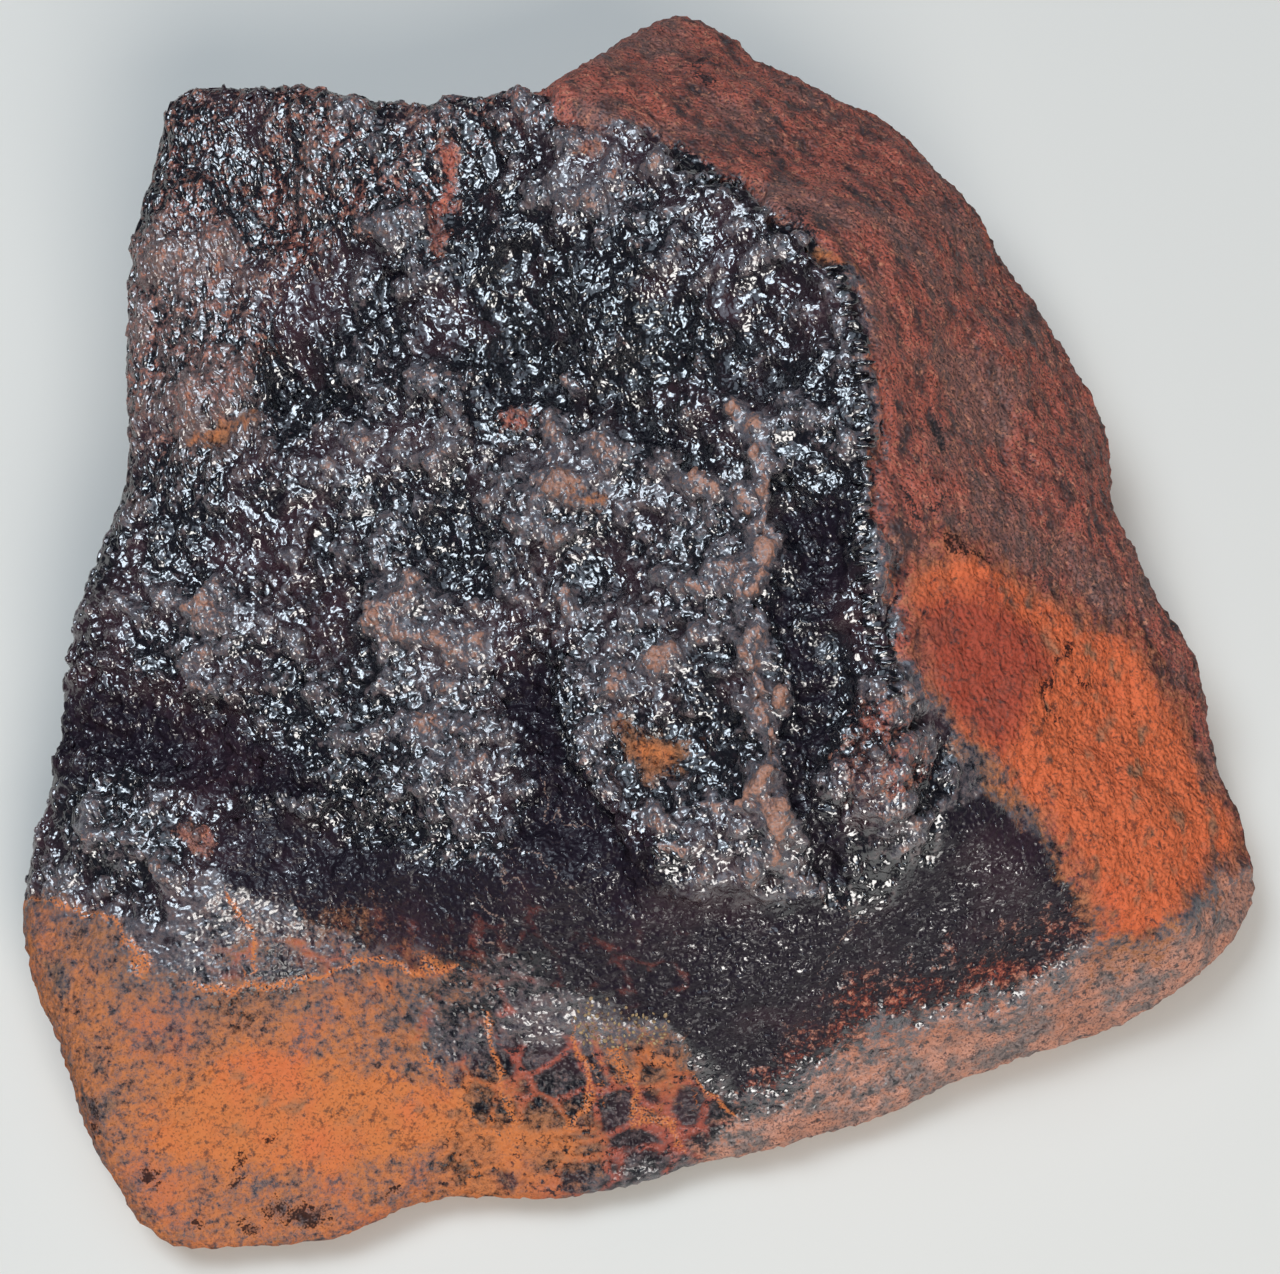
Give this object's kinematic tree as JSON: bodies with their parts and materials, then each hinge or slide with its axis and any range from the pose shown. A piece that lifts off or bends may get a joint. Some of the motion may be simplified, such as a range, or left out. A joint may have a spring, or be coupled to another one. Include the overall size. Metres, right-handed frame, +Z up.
{
  "type": "eucrite meteorite",
  "caption": "Wedge-shaped stony meteorite with a dark, thumb-pitted fusion crust, iron-stained flanks and a flat patch to rest on.",
  "frame": {"origin": "middle of the stone's plan outline, on the surface that it rests on", "axes": "+Z up out of the resting patch, +Y towards the pointed back lobe, +X towards the iron-stained corner"},
  "size_m": [0.0808, 0.0832, 0.0298],
  "materials": {
    "fusion_crust": "black to brown fusion crust, slightly glossy where fresh, matt and orange where iron-stained"
  },
  "bodies": {
    "root": {"meteorite": "fusion_crust"}
  },
  "joints": []
}
